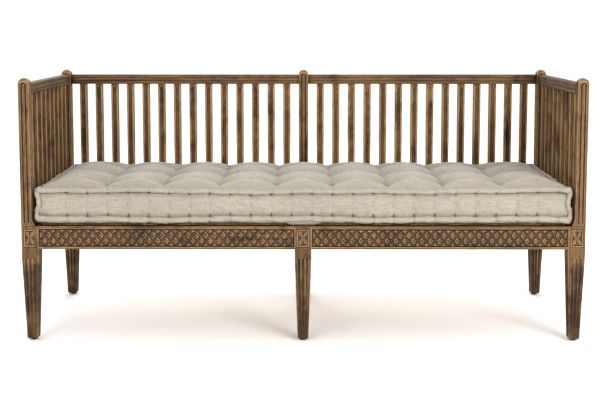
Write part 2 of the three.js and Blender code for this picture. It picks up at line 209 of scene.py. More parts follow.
def carved_wood(axis):
    """Old oak with its grain along the axis: worn pale on its edges, with a black patina in its hollows and
    painted shade where a piece is marked darker.
    """
    f = Finish(f"carved_wood_{'xyz'[axis]}")
    place = f.place()
    tone = f.attribute("tone")
    shift = f.times(tone, 3.7)
    grain = f.node("VectorMath")
    f.link(f.stretched(place, axis, GRAIN_STRETCH), grain.inputs[0])
    f.link(f.node("CombineXYZ", X=shift, Y=shift, Z=shift).outputs["Vector"], grain.inputs[1])
    grain = grain.outputs["Vector"]
    streaks = f.noise(grain, 110, 6, 0.65)
    bands = f.noise(grain, 34, 4, 0.55)
    pores = f.noise(grain, 430, 3, 0.7)
    patches = f.noise(place, 11, 5, 0.65)
    flecks = f.noise(place, 230, 3, 0.65)
    hollow = f.attribute("hollow")

    figure = f.plus(f.times(streaks, 0.6), f.times(bands, 0.4))
    colour = f.ramp(figure, [(0.36, WOOD_DEEP), (0.46, WOOD_MIDDLE), (0.58, WOOD_LIGHT)])
    colour = f.mix(f.times(tone, 0.35), colour, WOOD_MIDDLE)
    worn = f.plus(f.times(hollow, -1.0), f.times(flecks, 0.5))
    colour = f.mix(f.ramp(worn, [(0.40, 0.0), (0.85, 0.8)]), colour, WOOD_WORN)
    colour = f.mix(f.ramp(pores, [(0.54, 0.0), (0.66, 0.8)]), colour, WOOD_DEEP)

    # Black patches along the grain, and darker towards the floor.
    near_floor = f.ramp(f.split(place)["Z"], [(0.0, 0.10), (0.27, 0.08), (0.33, 0.0)])
    black_patches = f.plus(f.times(bands, 0.45), f.times(patches, 0.4), f.times(streaks, 0.2), near_floor)
    colour = f.mix(f.ramp(black_patches, [(0.54, 0.0), (0.64, 0.68)]), colour, WOOD_BLACK)
    # Black patina in the hollows, and painted shade where a piece was marked darker through the hollow
    # attribute.
    stain_and_shade = f.times(f.plus(hollow, patches, f.times(streaks, 0.5)), 0.5)
    colour = f.mix(f.ramp(stain_and_shade, [(0.42, 0.0), (0.62, 0.93)]), colour, WOOD_BLACK)
    specks = f.ramp(f.noise(place, 130, 2, 0.5), [(0.70, 0.0), (0.74, 0.85)])
    f.surface(Base_Color=f.mix(specks, colour, WOOD_BLACK), Specular_IOR_Level=0.3,
              Roughness=f.ramp(streaks, [(0.3, 0.52), (0.7, 0.74)]))
    f.bump((streaks, 0.4, 0.0009), (pores, 0.35, 0.0004), (flecks, 0.15, 0.0004))
    return f.material


def plain_wood():
    """Unfinished pine for the base, with its grain along Y."""
    f = Finish("plain_wood")
    grain = f.stretched(f.place(), 1, GRAIN_STRETCH)
    streaks = f.noise(grain, 70, 5, 0.6)
    pores = f.noise(grain, 400, 3, 0.7)
    colour = f.ramp(streaks, [(0.3, PINE_DEEP), (0.55, PINE_MIDDLE), (0.7, PINE_LIGHT)])
    colour = f.mix(f.ramp(pores, [(0.55, 0.0), (0.75, 0.5)]), colour, PINE_PORES)
    f.surface(Base_Color=colour, Roughness=0.78)
    f.bump((streaks, 0.3, 0.0006), (pores, 0.3, 0.0003))
    return f.material


def glide_plastic():
    """Dull black plastic, scuffed."""
    f = Finish("glide_plastic")
    scuffs = f.noise(f.place(), 260, 4, 0.7)
    f.surface(Base_Color=f.ramp(scuffs, [(0.4, (0.018, 0.016, 0.014)), (0.7, (0.05, 0.045, 0.04))]),
              Roughness=f.ramp(scuffs, [(0.3, 0.4), (0.7, 0.65)]))
    f.bump((scuffs, 0.3, 0.0002))
    return f.material


def weave_lines(f, place, axis, facing):
    """Threads side by side along an axis, where the surface doesn't face that way."""
    wave = f.node("TexWave", Vector=place, Scale=190, Distortion=1.6, Detail=2, Detail_Scale=1.5)
    wave.bands_direction = "XYZ"[axis]
    return f.times(wave.outputs["Fac"], f.math("SUBTRACT", 1.0, f.math("ABSOLUTE", facing)))


def linen(name, pale, deep):
    """Washed linen: a plain weave with slubs, with painted shade in its hollows."""
    f = Finish(name)
    place = f.place()
    normal = f.split(f.node("NewGeometry").outputs["Normal"])
    weave = f.plus(*(weave_lines(f, place, axis, normal[axis]) for axis in range(3)))
    slubs = f.plus(*(f.noise(f.stretched(place, axis, 0.05), 260, 2, 0.5) for axis in range(2)))
    slubs = f.times(slubs, 0.5)
    wrinkles = f.noise(place, 24, 5, 0.55)
    clouds = f.noise(place, 5, 3, 0.6)
    colour = f.ramp(slubs, [(0.38, deep), (0.56, pale)])
    colour = f.mix(f.ramp(clouds, [(0.35, 0.35), (0.65, 0.0)]), colour, deep)
    colour = f.mix(f.ramp(weave, [(0.2, 0.22), (0.9, 0.0)]), colour, deep)
    shade = f.ramp(f.attribute("hollow"), [(0.05, 0.0), (0.85, 0.4)])
    f.surface(Base_Color=f.mix(shade, colour, tuple(0.62 * v for v in deep)), Roughness=0.9,
              Specular_IOR_Level=0.2, Sheen_Weight=0.25, Sheen_Roughness=0.5)
    f.bump((wrinkles, 0.22, 0.003), (slubs, 0.2, 0.0006), (weave, 0.3, 0.0004))
    return f.material


WOOD = [carved_wood(axis) for axis in range(3)]
PLAIN_WOOD = plain_wood()
GLIDE = glide_plastic()
LINEN = linen("linen", (0.375, 0.343, 0.287), (0.29, 0.262, 0.216))
# The threads are coloured near black: painted shade of the dimples and seams they lie in.
THREAD_WITH_PAINTED_SHADE = linen("linen_thread_painted_shade", (0.11, 0.088, 0.06), (0.07, 0.055, 0.038))

# ---------- lofted pieces ----------

SIDES = ("low_b", "high_a", "high_b", "low_a")
ARC_STEPS = 3


def stations(*marks):
    """Rising stations through marks, which take turns with the step to keep from one mark to the next."""
    joined = [np.linspace(start, end, max(2, int(round((end - start) / step)) + 1))
              for start, step, end in zip(marks[::2], marks[1::2], marks[2::2])]
    return np.unique(np.round(np.concatenate(joined), 6))


def hollowness(points, normals, rounds, full):
    """How far each point of a ring-by-ring grid lies in a hollow, from -1 on an edge to 1 in a groove."""
    smooth = points.copy()
    for _ in range(rounds):
        along = smooth.copy()
        along[1:-1] = (smooth[:-2] + smooth[2:]) / 2
        around = (np.roll(smooth, 1, axis=1) + np.roll(smooth, -1, axis=1)) / 2
        smooth = 0.25 * along + 0.5 * around + 0.25 * smooth
    return np.clip(np.einsum("ijk,ijk->ij", smooth - points, normals) / full, -1, 1)


def loft(name, node, axis, t, bounds, relief, across, arris=1.6 * MM, patina_and_shade=None):
    """A piece whose section is a rectangle with rounded corners, along an axis.

    bounds(t) gives the section's (a0, a1, b0, b1), where a and b are the next two axes in order. relief(side,
    c, t) gives how deep the surface is cut on each side at the coordinate c across it, across(side) how many
    points the side takes, and the darkening function, given side, c and t, how much patina and painted shade
    darken it there, from 0 to 1.
    """
    a0, a1, b0, b1 = (np.broadcast_to(v, t.shape).astype(float) for v in bounds(t))
    radius = np.minimum(arris, 0.45 * np.minimum(a1 - a0, b1 - b0))
    corners = ((a1, b0, -math.pi / 2), (a1, b1, 0.0), (a0, b1, math.pi / 2), (a0, b0, math.pi))
    inward = ((-1, 1), (-1, -1), (1, -1), (1, 1))
    columns_a, columns_b, dark = [], [], []
    for side, (name_of_side, corner, turn) in enumerate(zip(SIDES, corners, inward)):
        flat_a = side % 2 == 0
        low, high = (a0 + radius, a1 - radius) if flat_a else (b0 + radius, b1 - radius)
        u = np.linspace(0, 1, across(name_of_side))
        way = u if side < 2 else 1 - u
        c = low[:, None] + (high - low)[:, None] * way[None, :]
        along = t[:, None] + 0 * c
        cut = relief(name_of_side, c, along)
        face = (b0[:, None] + cut, a1[:, None] - cut, b1[:, None] - cut, a0[:, None] + cut)[side]
        columns_a.append(c if flat_a else face)
        columns_b.append(face if flat_a else c)
        angles = corner[2] + (np.arange(ARC_STEPS) + 1) / (ARC_STEPS + 1) * math.pi / 2
        centre_a = corner[0] + turn[0] * radius
        centre_b = corner[1] + turn[1] * radius
        columns_a.append(centre_a[:, None] + radius[:, None] * np.cos(angles))
        columns_b.append(centre_b[:, None] + radius[:, None] * np.sin(angles))
        dark.append(patina_and_shade(name_of_side, c, along) if patina_and_shade else 0 * c)
        dark.append(np.zeros((len(t), ARC_STEPS)))
    pa, pb = np.concatenate(columns_a, axis=1), np.concatenate(columns_b, axis=1)
    points = np.empty((*pa.shape, 3))
    points[..., axis] = t[:, None]
    points[..., (axis + 1) % 3] = pa
    points[..., (axis + 2) % 3] = pb
    return ring_piece(name, node, axis, points, np.concatenate(dark, axis=1))


def ring_quads(rings, around):
    """The quads between rings that follow one another, of as many points each."""
    start = np.arange(rings - 1)[:, None] * around + np.arange(around)
    following = np.roll(start, -1, axis=1)
    return np.stack([start, following, following + around, start + around], axis=-1).reshape(-1, 4).tolist()


def ring_piece(name, node, axis, points, dark):
    """A closed mesh from rings of points, with both ends capped to their middles."""
    rings, around = points.shape[:2]
    tangent = np.gradient(points, axis=0)
    spin = np.roll(points, -1, axis=1) - np.roll(points, 1, axis=1)
    normals = np.cross(spin, tangent)
    normals /= np.maximum(np.linalg.norm(normals, axis=2, keepdims=True), 1e-9)
    near, wide = hollowness(points, normals, 5, 0.5 * MM), hollowness(points, normals, 30, 3 * MM)
    hollow = np.where(wide > 0, np.maximum(near, 0.75 * wide), near)
    # The patina and painted shade that the loft marks darken the piece as a hollow does.
    hollow = np.maximum(hollow, 2 * dark - 1).ravel()
    vertices = np.vstack([points.reshape(-1, 3), points[0].mean(axis=0), points[-1].mean(axis=0)])
    first, last, top = rings * around, rings * around + 1, (rings - 1) * around
    ring = [(i, (i + 1) % around) for i in range(around)]
    caps = [(first, j, i) for i, j in ring] + [(last, top + i, top + j) for i, j in ring]
    mesh = bpy.data.meshes.new(name)
    mesh.from_pydata(vertices.tolist(), [], ring_quads(rings, around) + caps)
    mesh.shade_smooth()
    piece = add_object(name, mesh)
    store(mesh, "hollow", np.append(hollow, [0, 0]))
    store(mesh, "tone", np.full(len(vertices), rng.random()))
    mesh.materials.append(WOOD[axis])
    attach(piece, "frame")
    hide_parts(node)
    return piece


def store(mesh, name, values):
    """Keeps a number for each vertex."""
    data = mesh.attributes.new(name, "FLOAT", "POINT").data
    data.foreach_set("value", np.asarray(values, dtype=np.float32))


def groove(distance, half_width, depth):
    """A round-bottomed groove's depth at a distance from its middle line."""
    return depth * np.sqrt(np.clip(1 - (distance / half_width) ** 2, 0, 1))


def bell(distance, reach):
    """1 at no distance, fading on both sides over about the reach."""
    return np.exp(-((distance / reach) ** 2))


def fade(distance, reach):
    """1 at no distance, in a sharp peak, fading over about the reach."""
    return np.exp(-(distance / reach))


def bead_fall(off, power=2):
    """How far a round bead has fallen, from 0 at its crest, off = 0, to 1 at its edge, off = 1."""
    return 1 - np.sqrt(np.clip(1 - off**power, 0, 1))


def smooth_step(low, high, x):
    """From 0 at low to 1 at high."""
    s = np.clip((x - low) / (high - low), 0, 1)
    return s * s * (3 - 2 * s)


# ---------- sizes read from the frame ----------


def span(node, axis):
    """Where a node starts and ends along an axis."""
    low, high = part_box(node)
    return low[axis], high[axis]


FRONT, BACK = CAD_BOX[0].y, CAD_BOX[1].y
LEFT, RIGHT = CAD_BOX[0].x, CAD_BOX[1].x
HEIGHT = CAD_BOX[1].z
GLIDE_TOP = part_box("front_center_leg")[0].z
SEAT_BOTTOM, SEAT_TOP = span("front_left_rail", 2)
TOP_RAIL_LOW, TOP_RAIL_HIGH = span("back_left_top_rail", 2)
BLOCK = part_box("front_center_leg")[1].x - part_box("front_center_leg")[0].x
SHAFT = 38 * MM
FOOT = 38 * MM
FOOT_ROUND = 6 * MM
TAPER_TOP = 305 * MM
COVE = 35 * MM
PANEL = SHAFT / 2

# ---------- carving ----------

SCALE_PITCH = 31 * MM
ROW_SPACING = 20.3 * MM
SCALE_RADIUS = 20.3 * MM
SCALE_ROWS = (-1.5, -0.5, 0.5, 1.5)
PAD_REACH = 10.7 * MM
PAD_ROUNDNESS = 1.3
BEAD = 9.5 * MM
FIELD_LOW = SEAT_BOTTOM + 12.5 * MM
FIELD_HIGH = SEAT_TOP - 14 * MM
FIELD_MIDDLE = (FIELD_LOW + FIELD_HIGH) / 2
END_BAND = 7 * MM


def scales(x, z, start, end, tips):
    """Rows of overlapping scales, whose round tips point along tips (+1 or -1), each over the next ones.

    Gives how far each point is inside its scale's round edge, and how far from the middle of its raised pad.
    """
    first = start if tips > 0 else end
    along = (x - first) * tips
    inside = np.zeros(x.shape)
    pad = np.full(x.shape, np.inf)
    taken = np.zeros(x.shape, bool)
    for step in range(-4, int((end - start) / (SCALE_PITCH / 2)) + 4):
        for number, row in enumerate(SCALE_ROWS):
            if (step + number) % 2:
                continue
            dx = along - step * SCALE_PITCH / 2
            dz = z - FIELD_MIDDLE - row * ROW_SPACING
            edge = SCALE_RADIUS - np.hypot(dx, dz)
            mine = (edge > 0) & ~taken
            inside = np.where(mine, edge, inside)
            diamond = np.abs(dx - 0.28 * SCALE_PITCH) ** PAD_ROUNDNESS + np.abs(dz) ** PAD_ROUNDNESS
            pad = np.where(mine, diamond ** (1 / PAD_ROUNDNESS), pad)
            taken |= mine
    return inside, pad


def inside_field(x, z, start, end):
    """How far a point of the rail's face is inside the field of scales."""
    return np.minimum(np.minimum(z - FIELD_LOW, FIELD_HIGH - z), np.minimum(x - start, end - x) - END_BAND)


def scale_depth(x, z, start, end, tips):
    """How deep the scales are cut."""
    inside, pad = scales(x, z, start, end, tips)
    depth = 0.7 * MM + 2.4 * MM * smooth_step(1 * MM, 17 * MM, inside)
    depth += groove(inside - 4.3 * MM, 1.8 * MM, 1.5 * MM)
    depth += 0.8 * MM * smooth_step(1.8 * MM, 0, inside)
    return depth - 1.3 * MM * smooth_step(PAD_REACH, PAD_REACH - 3 * MM, pad)


def scale_shadow(x, z, start, end, tips):
    """The painted shadow and patina in the channel between each scale's rim and its pad, from 0 to 1."""
    inside, pad = scales(x, z, start, end, tips)
    channel = smooth_step(6.9 * MM, 5.4 * MM, inside) * smooth_step(0.9 * MM, 2.1 * MM, inside)
    channel *= smooth_step(PAD_REACH - 3.4 * MM, PAD_REACH - 1 * MM, pad)
    return channel * (inside_field(x, z, start, end) > 0)


def carved_face(x, z, start, end, tips):
    """The outer face of a carved seat rail: a bead along its top and bottom, and scales between them."""
    inside = inside_field(x, z, start, end)
    low_bead, high_bead = SEAT_BOTTOM + BEAD / 2, SEAT_TOP - BEAD / 2
    off = np.minimum(np.abs(z - low_bead), np.abs(z - high_bead)) / (BEAD / 2)
    band = 1.6 * MM * bead_fall(off)
    depth = np.where(inside > 0, scale_depth(x, z, start, end, tips), band)
    return np.maximum(depth, groove(inside + 1.5 * MM, 2.6 * MM, 4.2 * MM))


ROSETTE_WIDE = 17 * MM
ROSETTE_HIGH = 26 * MM


def rosette(x, z, middle_x):
    """A sunk upright panel with four leaves along its diagonals, and fans between them."""
    p = (x - middle_x) / ROSETTE_WIDE
    q = (z - FIELD_MIDDLE) / ROSETTE_HIGH
    r = np.hypot(p, q)
    angle = np.arctan2(q, p)
    from_diagonal = np.abs(np.mod(angle, math.pi / 2) - math.pi / 4)
    leaf_width = 0.36 * np.sin(np.clip(r / 1.35, 0, 1) * math.pi) ** 0.7
    leaf = np.clip(1 - (from_diagonal * r / np.maximum(leaf_width, 0.02)) ** 2, 0, 1)
    vein = 0.35 * bell(from_diagonal * r, 0.035) * (r > 0.3)
    fan = 0.45 * (0.5 + 0.5 * np.cos(angle * 20)) * smooth_step(0.3, 0.5, r)
    boss = np.sqrt(np.clip(1 - (r / 0.24) ** 2, 0, 1))
    height = np.maximum(np.maximum(np.sqrt(leaf) - vein, fan), boss)
    square = np.maximum(np.abs(p), np.abs(q))
    edge = (1 - square) * ROSETTE_WIDE
    depth = 3.6 * MM - 2.7 * MM * height
    depth = np.where(edge > 0, np.maximum(depth, groove(edge - 0.8 * MM, 1.5 * MM, 4.0 * MM)), 0)
    frame_line = groove(edge + 4.5 * MM, 1.0 * MM, 0.9 * MM)
    return np.maximum(depth, frame_line)


# ---------- posts and legs ----------

SHAFT_FLUTE = 7 * MM
SHAFT_FLUTE_HALF = 3.3 * MM
ARCH_SPRING = HEIGHT - 24.5 * MM
LEG_FLUTE_TOP = 297 * MM
LEG_FLUTE_BOTTOM = 54 * MM
INNER_FLUTE_LOW = SEAT_TOP + COVE + 12 * MM


def beyond(z, low, high):
    """How far z is outside low and high."""
    return np.maximum(np.maximum(low - z, z - high), 0)


def leg_half(z):
    """Half the width of a leg, or of the block on it, at a height. The foot is rounded."""
    low = GLIDE_TOP + FOOT_ROUND
    rise = np.clip((z - low) / (TAPER_TOP - low), 0, 1)
    half = (FOOT + (BLOCK - FOOT) * rise) / 2
    under = np.clip((low - z) / FOOT_ROUND, 0, 1)
    return half - FOOT_ROUND * bead_fall(under)


def leg_flutes(c, z):
    """Three flutes down a face, at c from its middle line, narrowing with the leg."""
    half = leg_half(np.clip(z, LEG_FLUTE_BOTTOM, TAPER_TOP))
    narrowing = half / (BLOCK / 2)
    cut = 0 * c
    for flute in (-1, 0, 1):
        away = np.hypot(c - flute * 15.2 * MM * narrowing, beyond(z, LEG_FLUTE_BOTTOM, LEG_FLUTE_TOP))
        cut = np.maximum(cut, groove(away, 4.8 * MM * narrowing, 1.5 * MM * narrowing))
    return cut


def shaft_flutes(c, z, low):
    """Two flutes up a face, joined by an arch at the top, at c from its middle line."""
    aside = np.abs(np.abs(c) - SHAFT_FLUTE)
    away = np.where(z > ARCH_SPRING, np.abs(np.hypot(c, z - ARCH_SPRING) - SHAFT_FLUTE), aside)
    away = np.where(z < low, np.hypot(aside, low - z), away)
    return groove(away, SHAFT_FLUTE_HALF, 2.5 * MM)


def shaft_inner(z):
    """How far the cove stands out from the shaft's inner face, from 1 at the block to 0."""
    up = np.clip((z - SEAT_TOP) / COVE, 0, 1)
    return bead_fall(1 - up)


def dome_half(z):
    """The half width of a round top at a height, as a share of the shaft's."""
    up = np.clip((z - (HEIGHT - SHAFT / 2)) / (SHAFT / 2), 0, 1)
    return np.sqrt(np.clip(1 - up**2, 0.0006, 1))


def dome_stations():
    """Heights up a round top, closer together as it turns over."""
    angles = np.linspace(0, math.pi / 2, 14)
    return HEIGHT - SHAFT / 2 * (1 - np.sin(angles))


LEG_STATIONS = stations(
    GLIDE_TOP, 0.9 * MM, GLIDE_TOP + FOOT_ROUND, 8 * MM, LEG_FLUTE_BOTTOM - 8 * MM, 1 * MM,
    LEG_FLUTE_BOTTOM + 4 * MM, 10 * MM, LEG_FLUTE_TOP - 9 * MM, 1 * MM, TAPER_TOP, 6 * MM,
    SEAT_BOTTOM, 1.2 * MM, SEAT_TOP)
SHAFT_STATIONS = stations(
    SEAT_TOP, 1.6 * MM, INNER_FLUTE_LOW, 12 * MM, ARCH_SPRING - 12.5 * MM, 1.1 * MM, HEIGHT - SHAFT / 2)


def post(node, x_shaft, y_shaft, carved, flush):
    """A post on its leg. x_shaft and y_shaft say where the shaft stands on its block: -1, 0 or 1.

    carved names the sides of its block with a rosette, and flush those where shaft and block are one face.
    """
    low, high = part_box(node)
    middle_x, middle_y = (low.x + high.x) / 2, (low.y + high.y) / 2
    reach = (BLOCK - SHAFT) / 2
    shaft_x, shaft_y = middle_x + x_shaft * reach, middle_y + y_shaft * reach
    tall = high.z > SEAT_TOP + COVE
    t = LEG_STATIONS
    if tall:
        t = np.unique(np.round(np.concatenate([t, SHAFT_STATIONS, dome_stations()]), 6))

    def bounds(z):
        half = leg_half(z)
        cove = shaft_inner(z)
        dome = dome_half(z) if tall else 1.0
        out = []
        for middle, shaft in ((middle_x, shaft_x), (middle_y, shaft_y)):
            for side in (-1, 1):
                block_face = middle + side * half
                shaft_face = shaft + side * SHAFT / 2 * dome
                stand_out = (middle + side * BLOCK / 2) - (shaft + side * SHAFT / 2)
                upper_face = shaft_face + stand_out * cove
                out.append(np.where(z <= SEAT_TOP, block_face, upper_face))
        return out

    def relief(side, c, z):
        middle, shaft = (middle_x, shaft_x) if side in ("low_b", "high_b") else (middle_y, shaft_y)
        cut = leg_flutes(c - middle, z)
        if side in carved:
            cut = np.maximum(cut, rosette(c, z, middle))
        if tall:
            flute_low = SEAT_TOP + 14 * MM if side in flush else INNER_FLUTE_LOW
            cut = cut + np.where(z > SEAT_TOP, shaft_flutes(c - shaft, z, flute_low), 0)
            cut = cut + groove(z - SEAT_TOP - 1.5 * MM, 1.6 * MM, 1.5 * MM) * (side in flush)
        return cut

    name = node.replace("_post", "_carved_post").replace("_leg", "_carved_leg")
    return loft(name, node, 2, t, bounds, relief, lambda side: 49 if side in carved else 37, arris=2.2 * MM)


def build_posts():
    for depth, y_shaft, y_side in (("front", -1, "low_b"), ("back", 1, "high_b")):
        for end, x_shaft, x_side in (("left", -1, "low_a"), ("right", 1, "high_a")):
            post(f"{depth}_{end}_post", x_shaft, y_shaft, (y_side, x_side), (y_side, x_side))
    post("back_center_post", 0, 1, (), ("high_b",))
    post("front_center_leg", 0, 0, ("low_b",), ())


# ---------- rails ----------


SUNK = 1.5 * MM
RAIL_SETBACK = 3 * MM
RAIL_THICK = SHAFT - 2 * RAIL_SETBACK
TOP_RAIL_SETBACK = 2 * MM
TOP_RAIL_THICK = SHAFT - 2 * TOP_RAIL_SETBACK


def seat_rail(node, axis, start, end, low, outer, tips):
    """A seat rail along an axis between the blocks at start and end, and across it from low up.

    outer is its carved side, or None. tips is 1 where its scales point along the axis, and -1 where back.
    """
    start, end, high = start - SUNK, end + SUNK, low + RAIL_THICK
    t = stations(start, 1.25 * MM if outer else 60 * MM, end)

    def bounds(_):
        return (low, high, SEAT_BOTTOM, SEAT_TOP) if axis == 0 else (SEAT_BOTTOM, SEAT_TOP, low, high)

    def relief(side, c, along):
        if side == outer:
            return carved_face(along, c, start, end, tips)
        return 0 * c

    def across(side):
        if side == outer:
            return 90
        return 17 if side == "high_b" else 5

    def patina_and_shade(side, c, along):
        """Painted shadow and patina where the scales meet, and painted shade on top of a front rail where the
        mattress lies over it.
        """
        if side == outer:
            return scale_shadow(along, c, start, end, tips)
        # Painted shade on the front rail's top, where the mattress's edge hangs over it.
        return smooth_step(9 * MM, 14 * MM, c - low) if side == "high_b" and outer == "low_a" else 0 * c

    return loft(node.replace("_rail", "_carved_rail"), node, axis, t, bounds, relief, across, patina_and_shade=patina_and_shade)


REEDS = 3


def reeded(c, low, high):
    """Three round reeds side by side between low and high."""
    pitch = (high - low) / REEDS
    off = np.abs(np.mod(c - low, pitch) - pitch / 2) / (pitch / 2)
    return 2.0 * MM * bead_fall(off, 2.6)


def top_rail(node, axis, start, end, low):
    """A top rail along an axis between the shafts at start and end, and across it from low up."""
    high = low + TOP_RAIL_THICK
    t = stations(start - SUNK, 30 * MM, end + SUNK)

    def bounds(_):
        upright = (TOP_RAIL_LOW, TOP_RAIL_HIGH)
        return (low, high, *upright) if axis == 0 else (*upright, low, high)

    def relief(side, c, along):
        vertical_face = side in (("low_a", "high_a") if axis == 0 else ("low_b", "high_b"))
        top_face = side == ("high_b" if axis == 0 else "high_a")
        if vertical_face:
            return reeded(c, TOP_RAIL_LOW, TOP_RAIL_HIGH)
        return 0.6 * reeded(c, low, high) if top_face else 0 * c

    name = node.replace("_rail", "_reeded_rail")
    return loft(name, node, axis, t, bounds, relief, lambda side: 40, arris=1.2 * MM)


def build_rails():
    """The rails, whose ends are let into the posts and blocks."""
    half = BLOCK / 2
    for end, start, stop, tips in (("left", LEFT + BLOCK, -half, 1), ("right", half, RIGHT - BLOCK, -1)):
        seat_rail(f"front_{end}_rail", 0, start, stop, FRONT + RAIL_SETBACK, "low_a", tips)
        seat_rail(f"back_{end}_rail", 0, start, stop, BACK - RAIL_SETBACK - RAIL_THICK, None, tips)
    for end, start, stop in (("left", LEFT + SHAFT, -SHAFT / 2), ("right", SHAFT / 2, RIGHT - SHAFT)):
        top_rail(f"back_{end}_top_rail", 0, start, stop, BACK - SHAFT + TOP_RAIL_SETBACK)
    sides = (("left", LEFT + RAIL_SETBACK, "low_b"), ("right", RIGHT - RAIL_SETBACK - RAIL_THICK, "high_b"))
    for end, low, outer in sides:
        seat_rail(f"{end}_side_rail", 1, FRONT + BLOCK, BACK - BLOCK, low, outer, -1)
    for end, edge in (("left", LEFT), ("right", RIGHT - SHAFT)):
        top_rail(f"{end}_top_rail", 1, FRONT + SHAFT, BACK - SHAFT, edge + TOP_RAIL_SETBACK)


# ---------- slats ----------

SLAT_GAP = 0.3 * MM
SLAT_THICK = 26 * MM
SLAT_FLUTE_STOP = 20 * MM
SLAT_LOW = SEAT_TOP + SLAT_GAP
SLAT_HIGH = TOP_RAIL_LOW - SLAT_GAP
SIDE_SLATS = 9
# Painted shade that darkens the side panels' slats all over.
SIDE_PAINTED_SHADE = 0.59


def slat(name, node, x0, x1, y0, y1, faces, painted_shade=0.0):
    """An upright slat with rounded edges, a stopped flute on its two faces, and painted shade all over as
    given.
    """
    low, high = SLAT_LOW + SLAT_FLUTE_STOP, SLAT_HIGH - SLAT_FLUTE_STOP
    t = stations(SLAT_LOW, 6 * MM, low - 9 * MM, 1.2 * MM, low + 2 * MM, 40 * MM, high - 2 * MM, 1.2 * MM,
                 high + 9 * MM, 6 * MM, SLAT_HIGH)
    middle = (x0 + x1) / 2 if "low_b" in faces else (y0 + y1) / 2

    def relief(side, c, z):
        if side not in faces:
            return 0 * c
        return groove(np.hypot(c - middle, beyond(z, low, high)), 7.5 * MM, 1.6 * MM)

    return loft(name, node, 2, t, lambda _: (x0, x1, y0, y1), relief, lambda side: 17, arris=4 * MM,
                patina_and_shade=lambda side, c, z: painted_shade + 0 * c)


def build_slats():
    half = SLAT_THICK / 2
    middle_y = BACK - PANEL
    for node in sorted(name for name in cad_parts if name.startswith("back_slat_")):
        x0, x1 = span(node, 0)
        name = node.replace("_slat", "_fluted_slat")
        slat(name, node, x0, x1, middle_y - half, middle_y + half, ("low_b", "high_b"))
    width = x1 - x0
    low, high = FRONT + SHAFT, BACK - SHAFT
    gap = (high - low - SIDE_SLATS * width) / (SIDE_SLATS + 1)
    for end, middle_x in (("left", LEFT + PANEL), ("right", RIGHT - PANEL)):
        for k in range(SIDE_SLATS):
            y0 = low + gap * (k + 1) + width * k
            slat(f"{end}_fluted_slat_{k + 1}", f"{end}_side_slats", middle_x - half, middle_x + half,
                 y0, y0 + width, ("low_a", "high_a"), painted_shade=SIDE_PAINTED_SHADE)


# ---------- what stays of the frame ----------


def finish_base():
    """Rounds the edges of the base and the glides, and gives them their materials."""
    for name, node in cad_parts.items():
        if name.endswith("_glide"):
            material, width = GLIDE, 0.8 * MM
        elif name.endswith(("_cleat", "_slatted_base", "_cross_rail")):
            material, width = PLAIN_WOOD, 1.5 * MM
        else:
            continue
        node.data.materials.clear()
        node.data.materials.append(material)
        bevel = node.modifiers.new("edges", "BEVEL")
        bevel.width = width
        bevel.segments = 2
        bevel.limit_method = "ANGLE"
        bevel.angle_limit = math.radians(40)


build_posts()
build_rails()
build_slats()
finish_base()

# ---------- mattress ----------

MATTRESS_LOW, MATTRESS_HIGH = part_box("mattress")
MIDDLE_Y = (MATTRESS_LOW.y + MATTRESS_HIGH.y) / 2
BODY_X = MATTRESS_HIGH.x - 9 * MM
BODY_Y = (MATTRESS_HIGH.y - MATTRESS_LOW.y) / 2 - 9 * MM
BODY_LOW = MATTRESS_LOW.z + 0.2 * MM
BODY_HIGH = MATTRESS_HIGH.z - 7 * MM
BODY_THICK = BODY_HIGH - BODY_LOW
BODY_CORNER = 26 * MM
BODY_EDGE = 17 * MM
BODY_LOW_EDGE = 10 * MM
ROLL_X = MATTRESS_HIGH.x - 10 * MM
ROLL_Y = (MATTRESS_HIGH.y - MATTRESS_LOW.y) / 2 - 10.5 * MM
ROLL_CORNER = 22 * MM
UPPER_ROLL = MATTRESS_HIGH.z - 27 * MM
LOWER_ROLL = MATTRESS_LOW.z + 22 * MM
ROLL_RADIUS = 9.5 * MM
UPPER_SEAM = UPPER_ROLL - 10 * MM
LOWER_SEAM = LOWER_ROLL + 10 * MM
STITCH_PITCH = 72.7 * MM
STITCH_OFFSET = 32 * MM
TUFT_X = np.array([-0.705, -0.5, -0.3, -0.1, 0.1, 0.3, 0.5, 0.705])
TUFT_Y = np.array([-0.2, 0.0, 0.2]) + MIDDLE_Y
TUFT_DEPTH = 30 * MM


def ripple(*terms):
    """A function of one length that adds up sines of (height, wavelength, phase)."""
    return lambda s: sum(h * np.sin(2 * math.pi * s / w + p) for h, w, p in terms)


SEAM_WAVE = ripple((2.6 * MM, 1.9, -1.6), (1.8 * MM, 0.71, 0.4), (1.2 * MM, 0.29, 1.9),
                   (0.6 * MM, 0.123, 0.7))
LOWER_WAVE = ripple((2.2 * MM, 0.83, 2.4), (1.2 * MM, 0.37, 0.3), (0.8 * MM, 0.141, 1.1))


def box_grid(cells):
    """The surface of a box of that many cells each way: its points, from 0 to 1 each way, and its quads."""
    index = np.full([n + 1 for n in cells], -1)
    shell = np.ones(index.shape, bool)
    shell[1:-1, 1:-1, 1:-1] = False
    index[shell] = np.arange(shell.sum())
    quads = []
    for axis in range(3):
        for end in (0, -1):
            face = np.take(index, end, axis=axis)
            corners = [face[:-1, :-1], face[1:, :-1], face[1:, 1:], face[:-1, 1:]]
            if (end == 0) != (axis == 1):
                corners.reverse()
            quads.append(np.stack([c.ravel() for c in corners], axis=1))
    return np.argwhere(shell) / cells, np.vstack(quads)


def rounded(a, b):
    """Moves points of a square corner, a and b beyond where its rounding starts, onto a round one."""
    a, b = np.clip(a, 0, None), np.clip(b, 0, None)
    share = np.maximum(a, b) / np.maximum(np.hypot(a, b), 1e-9)
    return a * share, b * share


